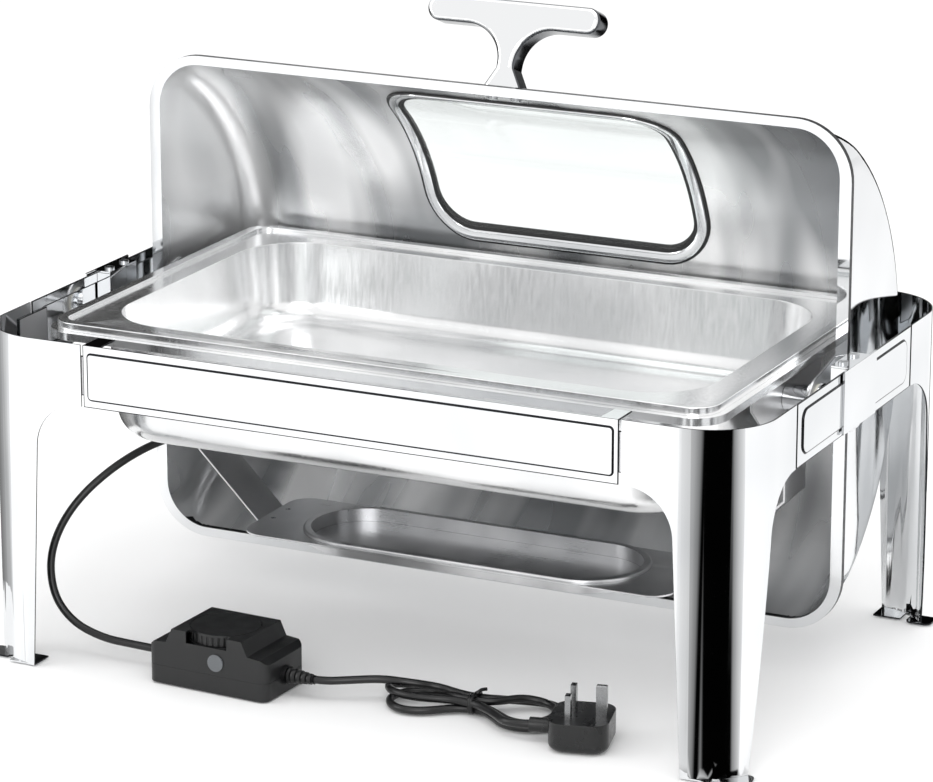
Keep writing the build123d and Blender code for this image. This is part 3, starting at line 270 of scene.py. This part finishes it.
MATERIALS = {
    "mirror_steel": mirror_steel(),
    "satin_steel": satin_steel(),
    "pan_steel": pan_steel(),
    "lid_lining": lid_lining(),
    "painted_reflection_side": painted_reflection_side(),
    "painted_shade_edge": painted_shade_edge(),
    "plain_steel": plain_steel(),
    "polished_handle": chrome(),
    "window_glass": tempered_glass(),
    "black_silicone": moulded("moulded_silicone", "#141516", 0.5, 1.2, 0.02),
    "white_nylon": moulded("moulded_nylon", "#E7E4DA", 0.4, 1.0, 0.02),
    "heater_aluminium": cast_metal("rolled_aluminium", "#C5C6C6", 0.35),
    "mica": moulded("mica_sheet", "#B99E6B", 0.4, 2.5, 0.05),
    "ceramic_fibre": moulded("ceramic_fibre_mat", "#E9E6DE", 0.9, 1.5, 0.3),
    "brass": cast_metal("nickel_plated_brass", "#8E8F90", 0.25),
    "black_rubber": moulded("extruded_pvc", "#060607", 0.34, 2.0, 0.015),
    "black_plastic": moulded("grained_abs", "#0D0E0F", 0.4, 0.7, 0.03),
    "black_gloss_plastic": moulded("moulded_pvc_plug", "#08090A", 0.28, 3.0, 0.02),
    "tie_plastic": moulded("coated_tie_wire", "#050506", 0.35, 1.5, 0.01),
    "board_green": moulded("solder_masked_board", "#1F5B3A", 0.45, 1.2, 0.03),
    "component_plastic": moulded("component_plastic", "#202224", 0.45, 0.8, 0.02),
    "lens_grey": moulded("smoked_lens", "#5B5E61", 0.25, 6.0, 0.01),
}


# ======================= mesh helpers =======================
def finish_piece(piece, body, slot, replaces=(), material=None, more=()):
    """Give a finished piece its material, picked by its slot unless one is named, and its body;
    hide the nodes it replaces.
    """
    kept = [face.material_index for face in piece.data.polygons] if piece.type == "MESH" else []
    piece.data.materials.clear()
    piece.data.materials.append(MATERIALS[material or slot])
    for name in more:
        piece.data.materials.append(MATERIALS[name])
    if more:
        piece.data.polygons.foreach_set("material_index", kept)
    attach(piece, body)
    if replaces:
        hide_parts(*replaces)
    return piece


def new_piece(name, mesh):
    """Put a mesh in the scene as a piece."""
    piece = bpy.data.objects.new(name, mesh)
    bpy.context.scene.collection.objects.link(piece)
    return piece


def paint_edge_shade(shape, strip_mm):
    """Give cut faces, and a narrow strip of the sheet along them, the second material, which is
    painted shade.
    """
    shape.faces.ensure_lookup_table()
    seen, broad = set(), []
    for start in shape.faces:
        if start in seen:
            continue
        patch, waiting, outline = [], [start], 0.0
        seen.add(start)
        while waiting:
            face = waiting.pop()
            patch.append(face)
            for side in face.edges:
                if len(side.link_faces) == 2 and side.calc_face_angle(pi) < radians(SMOOTH_ANGLE):
                    for other in side.link_faces:
                        if other not in seen:
                            seen.add(other)
                            waiting.append(other)
                else:
                    outline += side.calc_length()
        if outline and 2 * sum(face.calc_area() for face in patch) / outline < CUT_FACE * MM:
            for face in patch:
                face.material_index = 1
        else:
            broad += patch
    if strip_mm:
        strips = bmesh.ops.inset_region(shape, faces=broad, thickness=strip_mm * MM, depth=0,
                                        use_boundary=True, use_even_offset=True)
        for face in strips["faces"]:
            face.material_index = 1


def refined(node, name, body, slot, edge_mm, material=None, segments=3, edge=None):
    """A CAD node's own shape, merged, rounded and smoothed; it stands for the node."""
    mesh = NODES[node].data.copy()
    mesh.name = name
    shape = bmesh.new()
    shape.from_mesh(mesh)
    bmesh.ops.remove_doubles(shape, verts=shape.verts, dist=MERGE_GAP * MM)
    bmesh.ops.dissolve_limit(shape, angle_limit=radians(FLAT_ANGLE), verts=shape.verts,
                            edges=shape.edges)
    # Cut faces, and a strip beside them except on the legs, get the painted edge shade.
    if edge:
        paint_edge_shade(shape, 0 if node.startswith("leg_") else EDGE_SHADE_STRIP)
    for face in shape.faces:
        face.smooth = True
    shape.to_mesh(mesh)
    shape.free()
    mesh.set_sharp_from_angle(angle=radians(SMOOTH_ANGLE))
    piece = new_piece(name, mesh)
    if edge_mm and node.startswith("leg_"):
        edge_mm = LEG_EDGE
    if edge_mm:
        rounding = piece.modifiers.new("rounded_edges", "BEVEL")
        rounding.width = edge_mm * MM
        rounding.segments = segments
        rounding.limit_method = "ANGLE"
        rounding.angle_limit = radians(SMOOTH_ANGLE)
        rounding.use_clamp_overlap = True
        rounding.harden_normals = True
        # The rounded edges' own faces take the painted edge shade too.
        if edge:
            rounding.material = 1
    else:
        piece.modifiers.new("flat_faces_first", "WEIGHTED_NORMAL").keep_sharp = True
    return finish_piece(piece, body, slot, [node], material, [edge] if edge else [])


def turned(name, profile, start, direction, steps=32):
    """A turned shape: (distance along, radius) pairs in mm, spun about a line."""
    axis = Vector(direction).normalized()
    turn = axis.to_track_quat("Z", "Y").to_matrix().to_4x4()
    place = Matrix.Translation(Vector(start)) @ turn
    shape = bmesh.new()
    rings = []
    for along, radius in profile:
        ring = [shape.verts.new(place @ Vector((radius * MM * cos(2 * pi * k / steps),
                                                radius * MM * sin(2 * pi * k / steps), along * MM)))
                for k in range(steps)]
        rings.append(ring)
    for low, high in zip(rings, rings[1:]):
        for k in range(steps):
            shape.faces.new((low[k], low[(k + 1) % steps], high[(k + 1) % steps], high[k]))
    shape.faces.new(list(reversed(rings[0])))
    shape.faces.new(rings[-1])
    for face in shape.faces:
        face.smooth = True
    bmesh.ops.recalc_face_normals(shape, faces=shape.faces)
    mesh = bpy.data.meshes.new(name)
    shape.to_mesh(mesh)
    shape.free()
    mesh.set_sharp_from_angle(angle=radians(SMOOTH_ANGLE))
    return new_piece(name, mesh)


def cord_curve(name, points_mm, radius_mm):
    """A round cord on one smooth NURBS line drawn along a given route."""
    data = bpy.data.curves.new(name, "CURVE")
    data.dimensions = "3D"
    data.bevel_depth = radius_mm * MM
    data.bevel_resolution = CORD_RINGS
    data.resolution_u = 10
    data.use_fill_caps = True
    spline = data.splines.new("NURBS")
    spline.points.add(len(points_mm) - 1)
    for point, spot in zip(spline.points, points_mm):
        point.co = (*(c * MM for c in spot), 1.0)
    spline.order_u = 3
    spline.use_endpoint_u = True
    piece = bpy.data.objects.new(name, data)
    bpy.context.scene.collection.objects.link(piece)
    return piece


# ======================= camera =======================
# Angles in degrees; distances and the target in metres.
VIEW_AZIMUTH = 25.91
VIEW_ELEVATION = 16.46
VIEW_DISTANCE = 3.22196
VIEW_TARGET = Vector((0, 0, 0.19468))
LENS_MM = 165.92
SENSOR_MM = 36


def place_camera():
    """A long lens a little above the rim, at the front and to the right."""
    azimuth, elevation = radians(VIEW_AZIMUTH), radians(VIEW_ELEVATION)
    back = Vector((sin(azimuth) * cos(elevation), -cos(azimuth) * cos(elevation), sin(elevation)))
    data = bpy.data.cameras.new("camera")
    data.lens = LENS_MM
    data.sensor_width = SENSOR_MM
    camera = bpy.data.objects.new("camera", data)
    camera.location = VIEW_TARGET + back * VIEW_DISTANCE
    camera.rotation_euler = (-back).to_track_quat("-Z", "Y").to_euler()
    bpy.context.scene.collection.objects.link(camera)
    bpy.context.scene.camera = camera


place_camera()

# ======================= cords =======================
# The routes' points, in millimetres.
heater_route = [(-166.5, -50, 153), (-192, -50, 153), (-219, -76, 149), (-241, -110, 135),
                (-263, -137, 109), (-275, -152, 76), (-270, -159, 44), (-252, -161, 24),
                (-226, -160.5, 15), (-201.9, -160.6, 14), (-173.9, -162.0, 14)]
relief_end = (-49.1, -168.6, 14)
relief_lead = (-35.1, -169.3, 14)
lead_route = [relief_end, relief_lead, (-16, -160, 15), (4, -150, 16), (27, -147, 15.5)]
tail_route = [(92, -157, 9.4), (105, -167, 9.8), (115, -176, 10.2), (126, -177.5, 11),
              (135.1, -175.2, 11)]

TIE_X = 77
TIE_Y = -144.5
HANK_TURN = radians(4)


def on_hank(along, across, height):
    """A point given from the tie: along the hank, across it to the back, above the table."""
    return (TIE_X + along * cos(HANK_TURN) - across * sin(HANK_TURN),
            TIE_Y + along * sin(HANK_TURN) + across * cos(HANK_TURN), height)


# The hank's five passes through the tie, and the four uneven loops that fan out beside it.
hank_spots = [
    (-33, 12, 11), (-13, 7, 9.6), (4, 6.3, 9.3), (18, 11, 8.5), (30, 24, 4.5), (47, 29, 3.2),
    (63, 20, 3.1), (70, 3, 3.1), (64, -15, 3.1), (47, -26, 3.1), (30, -23, 3.1),
    (18, -11.5, 3.2), (8, -3.2, 3.3), (-8, -3.2, 3.3), (-20, -10, 3.2), (-34, -20, 3.1),
    (-50, -22.5, 3.1), (-63, -12.5, 3.1), (-66, 3, 3.1), (-57, 16, 3.1), (-41, 19, 3.2),
    (-27, 11, 7), (-13, 1.5, 9.4), (6, -0.5, 9.4), (18, 5, 9.2), (29, 18, 9), (45, 23, 6.5),
    (59, 14, 5.5), (61, -3, 4.5), (50, -16, 3.3), (34, -16.5, 3.2), (21, -6.5, 3.2),
    (8, 3.1, 3.2), (-8, 3.1, 3.2), (-22, 12, 3.2), (-34, 25, 3.1), (-50, 32, 3.1), (-66, 26, 4),
    (-73, 10, 8.5), (-64, -5.5, 9.6), (-47, -11, 9.6), (-30, -9, 9.6), (-13, -5, 9.4),
    (3, -7, 9.3),
]

heater_cord = cord_curve("heater_lead", heater_route, CORD_WIDTH / 2)
finish_piece(heater_cord, "frame", "black_rubber", ["heater_cord"])

mains_route = lead_route + [on_hank(*spot) for spot in hank_spots] + tail_route
mains_cord = cord_curve("mains_lead", mains_route, CORD_WIDTH / 2)
finish_piece(mains_cord, "frame", "black_rubber",
             ["mains_cord_lead", "mains_cord_hank", "mains_cord_tail"])


def strain_relief():
    """A tapered, ribbed sleeve on the mains lead where it leaves the controller."""
    heading = (Vector(relief_lead) - Vector(relief_end)).normalized()
    base = Vector(relief_end) - heading * RELIEF_SET_BACK
    collar_length, collar_radius, root_radius = 3, 7.0, 4.9
    first_rib, first_radius, taper = 3.4, 6.3, 0.55
    profile = [(0, collar_radius), (collar_length, collar_radius), (collar_length, root_radius)]
    pitch = (RELIEF_LENGTH - 4.0) / RELIEF_RIBS
    for rib in range(RELIEF_RIBS):
        outer = first_radius - taper * rib
        start = first_rib + rib * pitch
        # One rib: up its steep face, along its top and down into the groove after it.
        profile += [(start + 0.3, outer - 1.4), (start + 0.7, outer),
                    (start + 0.62 * pitch, outer - 0.15), (start + 0.75 * pitch, outer - 1.5)]
    profile += [(RELIEF_LENGTH, 3.5), (RELIEF_LENGTH, 2.6)]
    piece = turned("lead_strain_relief", profile, base * MM, heading)
    return finish_piece(piece, "frame", "black_rubber", ["mains_strain_relief"])


def twist_tie():
    """Two turns of coated wire round the hank, with a short twisted end on top."""
    points = []
    turns, steps = 2, 16
    half_wide, half_high, middle = 10.6, 7.4, 7.75
    squareness, fit, wrap_width = 0.55, 0.86, 3.2
    for k in range(turns * steps + 1):
        angle = 2 * pi * k / steps + pi / 2
        square = max(abs(cos(angle)), abs(sin(angle))) ** squareness
        along = -wrap_width / 2 + wrap_width * k / (turns * steps)
        points.append(on_hank(along, half_wide * cos(angle) / square * fit,
                              middle + half_high * sin(angle) / square * fit))
    points += [on_hank(3.0, 1.5, 16.4), on_hank(4.5, 4, 17.0), on_hank(7.0, 6, 16.8)]
    piece = cord_curve("twist_tie", points, TIE_WIRE)
    return finish_piece(piece, "frame", "tie_plastic", ["cord_tie"])


relief = strain_relief()
tie = twist_tie()

# ======================= steel sheet: frame, lid, pans =======================
SHEET_PIECES = {
    "frame": {
        "mirror_steel": ["leg_front_right", "leg_front_left", "leg_back_right", "leg_back_left",
                         "rail_front", "rail_back", "rail_left", "rail_right",
                         "hinge_bracket_left", "hinge_bracket_right",
                         "pivot_block_left", "pivot_block_right",
                         "pivot_sleeve_left", "pivot_sleeve_right", "sleeve_collars"],
        "satin_steel": ["pan_support_left", "pan_support_right", "hanger_strap_left",
                        "hanger_strap_right", "shelf", "splice_plates"],
    },
    "lid": {"satin_steel": ["lid_arm_left", "lid_arm_right"]},
}
for body, slots in SHEET_PIECES.items():
    for slot, names in slots.items():
        for node in names:
            # Every sheet piece gets painted shade on its cut edges.
            refined(node, node + "_sheet", body, slot, SHEET_EDGE, edge="painted_shade_edge",
                    segments=2)


def handle_casting():
    """The T handle: polished front and back, darker sides painted as dark reflection."""
    piece = refined("lid_handle", "handle_casting", "lid", "polished_handle", HANDLE_EDGE)
    piece.data.materials.append(MATERIALS["painted_reflection_side"])
    # Faces turned away from the front take the darker chrome: painted dark reflection.
    for face in piece.data.polygons:
        if abs(face.normal.dot(HANDLE_FRONT)) < HANDLE_SIDE:
            face.material_index = 1


handle_casting()
refined("water_pan", "water_pan_tub", "water_pan", "satin_steel", SHEET_EDGE, "pan_steel")
refined("food_pan", "food_pan_tub", "food_pan", "satin_steel", BEAD_EDGE, "pan_steel")
refined("window_glass", "glass_pane", "lid", "window_glass", GLASS_EDGE)


def window_outline():
    """Points round the window's edge in its own plane, each with its outward direction."""
    half_long, half_high = WINDOW_LENGTH / 2 - WINDOW_RADIUS, WINDOW_HEIGHT / 2 - WINDOW_RADIUS
    arc_steps, side_steps = 10, 8
    spots = []
    for quarter, (sx, sv) in enumerate(((1, 1), (-1, 1), (-1, -1), (1, -1))):
        centre = Vector((sx * half_long, sv * half_high))
        for k in range(arc_steps + 1):
            angle = (quarter + k / arc_steps) * pi / 2
            way = Vector((cos(angle), sin(angle)))
            spots.append((centre + way * WINDOW_RADIUS, way))
        straight = (2 * half_long, 2 * half_high)[quarter % 2]
        last, way = spots[-1]
        along = Vector((-way.y, way.x))
        spots += [(last + along * straight * k / side_steps, way) for k in range(1, side_steps)]
    return spots


def window_ring(name, profiles, slot, replaces=()):
    """Rings swept round the window, from closed profiles.

    A profile's points are (distance outside the window's edge, height off the sheet).
    """
    shape = bmesh.new()
    tilt = radians(WINDOW_ANGLE)
    spots = window_outline()
    for profile in profiles:
        loops = []
        for outward, height in profile:
            loop = []
            for spot, way in spots:
                across, along = spot + way * outward
                reach = sqrt((LID_RADIUS + height) ** 2 - along ** 2)
                loop.append(shape.verts.new(Vector((
                    WINDOW_X + across,
                    LID_AXIS_Y + along * sin(tilt) + reach * cos(tilt),
                    LID_MIDDLE_Z - along * cos(tilt) + reach * sin(tilt))) * MM))
            loops.append(loop)
        for low, high in zip(loops, loops[1:] + loops[:1]):
            for k in range(len(spots)):
                after = (k + 1) % len(spots)
                shape.faces.new((low[k], low[after], high[after], high[k]))
    for face in shape.faces:
        face.smooth = True
    bmesh.ops.recalc_face_normals(shape, faces=shape.faces)
    mesh = bpy.data.meshes.new(name)
    shape.to_mesh(mesh)
    shape.free()
    mesh.set_sharp_from_angle(angle=radians(SMOOTH_ANGLE))
    return finish_piece(new_piece(name, mesh), "lid", slot, replaces)


GASKET_PROFILE = [(-4.5, -1.8), (-4.0, -2.6), (-1.8, -3.2), (-1.2, -2.9), (6.6, -2.9),
                  (8.2, -2.6), (9.0, -1.4), (9.0, 1.4), (8.2, 2.6), (6.6, 2.9),
                  (-1.2, 2.9), (-1.8, 3.2), (-4.0, 2.6), (-4.5, 1.8)]
TRIM_PROFILE = [(-1.4, 2.7), (-1.1, 3.5), (-0.2, 3.9), (4.8, 3.9), (6.0, 3.6), (6.6, 2.7)]
window_ring("gasket_ring", [GASKET_PROFILE], "black_silicone", ["window_gasket"])
window_ring("window_trim_rings",
            [[(outward, side * height) for outward, height in TRIM_PROFILE] for side in (-1, 1)],
            "mirror_steel")
refined("controller_cover", "controller_top_case", "frame", "black_plastic", PLASTIC_EDGE)
refined("controller_base", "controller_bottom_case", "frame", "black_plastic", BASE_EDGE)
refined("plug_body", "plug_moulding", "frame", "black_gloss_plastic", PLUG_EDGE)
refined("dial", "dial_knob", "dial", "black_plastic", DIAL_EDGE)


def lid_barrel():
    """The lid: buffed outside and on its rim, brushed inside; its cut edges and the rim hem's sides
    carry painted shade.
    """
    piece = refined("lid_shell", "lid_barrel", "lid", "mirror_steel", SHEET_EDGE,
                    edge="painted_shade_edge", segments=2)
    piece.data.materials.append(MATERIALS["lid_lining"])
    low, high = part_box("lid_shell")
    middle = (low + high) / 2
    for face in piece.data.polygons:
        side_on = abs(face.normal.y) < STEEP
        # The rim hem's side faces get the painted edge shade.
        if face.center.y < low.y + RIM_HEM * MM and side_on:
            face.material_index = 1
        inward = face.normal.dot(middle - face.center) > 0
        behind_rim = face.center.y > low.y + RIM_LIP * MM
        if inward and (behind_rim or side_on) and face.material_index == 0:
            face.material_index = 2


lid_barrel()


def rivet_domes(name, body, spots):
    """Domed tops on a row of rivet heads whose shanks lie along X, placed by a node tree."""
    tree = bpy.data.node_groups.new("domed_rivet_heads", "GeometryNodeTree")
    new_socket = tree.interface.new_socket
    new_socket("Rivet Spots", in_out="INPUT", socket_type="NodeSocketGeometry")
    sizes = {"Head Radius": DOME_RADIUS * MM, "Head Rise": DOME_RISE * MM}
    sockets = {label: new_socket(label, in_out="INPUT", socket_type="NodeSocketFloat")
               for label in sizes}
    new_socket("Domes", in_out="OUTPUT", socket_type="NodeSocketGeometry")
    given = add_node(tree, "NodeGroupInput").outputs
    ball = add_node(tree, "GeometryNodeMeshUVSphere", Segments=24, Rings=12, Radius=1.0)
    size = add_node(tree, "ShaderNodeCombineXYZ",
                    links={"X": given["Head Rise"], "Y": given["Head Radius"],
                           "Z": given["Head Radius"]})
    heads = add_node(tree, "GeometryNodeInstanceOnPoints",
                     links={"Points": given["Rivet Spots"], "Instance": ball.outputs["Mesh"],
                            "Scale": size.outputs["Vector"]})
    solid = add_node(tree, "GeometryNodeRealizeInstances",
                     links={"Geometry": heads.outputs["Instances"]})
    plated = add_node(tree, "GeometryNodeSetMaterial",
                      links={"Geometry": solid.outputs["Geometry"]},
                      Material=MATERIALS["plain_steel"])
    add_node(tree, "NodeGroupOutput", links={"Domes": plated.outputs["Geometry"]})
    mesh = bpy.data.meshes.new(name + "_spots")
    mesh.from_pydata([Vector(spot) * MM for spot in spots], [], [])
    holder = new_piece(name + "_spots", mesh)
    modifier = holder.modifiers.new("domed_heads", "NODES")
    modifier.node_group = tree
    for label, value in sizes.items():
        modifier[sockets[label].identifier] = value
    shown = holder.evaluated_get(bpy.context.evaluated_depsgraph_get())
    made = bpy.data.meshes.new_from_object(shown)
    made.name = name
    bpy.data.objects.remove(holder)
    for face in made.polygons:
        face.use_smooth = True
    return finish_piece(new_piece(name, made), body, "plain_steel")


rivet_domes("arm_rivet_domes", "lid",
            [(side * x, ARM_RIVET_Y, z)
             for side in (-1, 1) for x in ARM_RIVET_X for z in ARM_RIVET_Z])
rivet_domes("strap_rivet_domes", "frame",
            [(side * x, y, STRAP_RIVET_Z)
             for side in (-1, 1) for x in STRAP_RIVET_X for y in STRAP_RIVET_Y])

SLOT_OF = {row["node"]: row["material_slot"] for row in frame["record"]["subparts"]}
for node_name, node in NODES.items():
    node.data.materials.clear()
    node.data.materials.append(MATERIALS[SLOT_OF[node_name]])


# ======================= studio =======================
# Metres, because the studio isn't part of the object.
FLOOR_HALF = 30.0
FLOOR_DROP = 0.0012            # the floor lies this far under the feet
FLAG_LIFT = 0.0002
PLATE_TAPER = 0.45             # a flag's floor part narrows to this share at its far end
SKY_STRENGTH = 1.05
LIGHT_TARGET = Vector((0, 0, 0.2))
LIGHTS = (("top_box", (0.2, -0.1, 2.2), 2.0, 14),      # name, place, size, watts
          ("left_box", (-2.2, -1.6, 1.3), 1.4, 14),
          ("front_box", (0.9, -2.6, 1.3), 1.6, 26))


def flag(name, foot, bearing, height, stops, plate=0.0):
    """An upright graded card that only mirrors see.

    It stands at foot and faces back along its bearing, degrees from the front towards the right.
    stops are (metres across it, sRGB colour); plate is how far it also lies along the floor
    behind it.
    """
    heading = Vector((sin(radians(bearing)), -cos(radians(bearing)), 0))
    across = Vector((cos(radians(bearing)), sin(radians(bearing)), 0))
    left, right = stops[0][0], stops[-1][0]
    low = Vector((foot[0], foot[1], FLAG_LIFT))
    far = low - heading * plate
    corners = [low + across * left, low + across * right]
    lift = Vector((0, 0, height))
    points = corners + [corners[1] + lift, corners[0] + lift]
    points += [far + across * left * PLATE_TAPER, far + across * right * PLATE_TAPER]
    mesh = bpy.data.meshes.new(name)
    mesh.from_pydata(points, [], [(0, 1, 2, 3)] + ([(4, 5, 1, 0)] if plate else []))
    layer = mesh.uv_layers.new(name="UVMap")
    for loop, uv in zip(layer.data, ((0, 0), (1, 0), (1, 1), (0, 1),
                                     (0, 0), (1, 0), (1, 0), (0, 0))):
        loop.uv = uv
    material = bpy.data.materials.new(name)
    material.use_nodes = True
    tree = material.node_tree
    tree.nodes.clear()
    place = add_node(tree, "ShaderNodeTexCoord").outputs["UV"]
    split = add_node(tree, "ShaderNodeSeparateXYZ", links={"Vector": place})
    ramp = add_node(tree, "ShaderNodeValToRGB", links={"Fac": split.outputs["X"]})
    elements = ramp.color_ramp.elements
    elements[0].color = linear(stops[0][1])
    elements[1].color = linear(stops[-1][1])
    for spot, colour in stops[1:-1]:
        elements.new((spot - left) / (right - left)).color = linear(colour)
    glow = add_node(tree, "ShaderNodeEmission", links={"Color": ramp.outputs["Color"]})
    add_node(tree, "ShaderNodeOutputMaterial", links={"Surface": glow.outputs["Emission"]})
    mesh.materials.append(material)
    card = new_piece(name, mesh)
    card.visible_camera = False
    card.visible_diffuse = False
    card.visible_shadow = False
    card.visible_transmission = False


def studio():
    """A white floor and sky, soft lights, and graded dark flags that only mirrors see."""
    scene = bpy.context.scene
    scene.view_settings.view_transform = "Standard"
    world = bpy.data.worlds.new("white_room")
    scene.world = world
    world.use_nodes = True
    tree = world.node_tree
    background = tree.nodes["Background"]
    background.inputs["Color"].default_value = linear("#FFFFFF")
    background.inputs["Strength"].default_value = SKY_STRENGTH

    mesh = bpy.data.meshes.new("floor")
    half = FLOOR_HALF
    mesh.from_pydata([(-half, -half, 0), (half, -half, 0), (half, half, 0), (-half, half, 0)],
                     [], [(0, 1, 2, 3)])
    floor = new_piece("floor", mesh)
    floor.location.z = -FLOOR_DROP
    paper = new_material("white_paper", "#F6F6F6", 0.0, 0.8)[0]
    mesh.materials.append(paper)

    flag("corner_flag", (0.3262, -0.2378), 37, 0.27,
         [(-0.155, "#FFFFFF"), (-0.1, "#E6E6E6"), (-0.052, "#8A8A8A"), (-0.043, "#020202"),
          (0.026, "#020202"), (0.032, "#9A9A9A"), (0.05, "#DCDCDC"), (0.07, "#FFFFFF")],
         plate=0.058)
    flag("left_flag", (-0.45, 0), -90, 0.5,
         [(-0.5, "#050505"), (-0.12, "#101010"), (0.11, "#909090"), (0.174, "#C4C4C4"),
          (0.245, "#FFFFFF")])
    flag("back_flag", (0.19, 0.5), 180, 0.6,
         [(-0.09, "#FFFFFF"), (-0.075, "#050505"), (0.1, "#050505"), (0.14, "#909090"),
          (0.2, "#FFFFFF")])

    for name, place, size, power in LIGHTS:
        light = bpy.data.lights.new(name, "AREA")
        light.size = size
        light.energy = power
        lamp = bpy.data.objects.new(name, light)
        lamp.location = place
        lamp.rotation_euler = (LIGHT_TARGET - Vector(place)).to_track_quat("-Z", "Y").to_euler()
        bpy.context.scene.collection.objects.link(lamp)


studio()
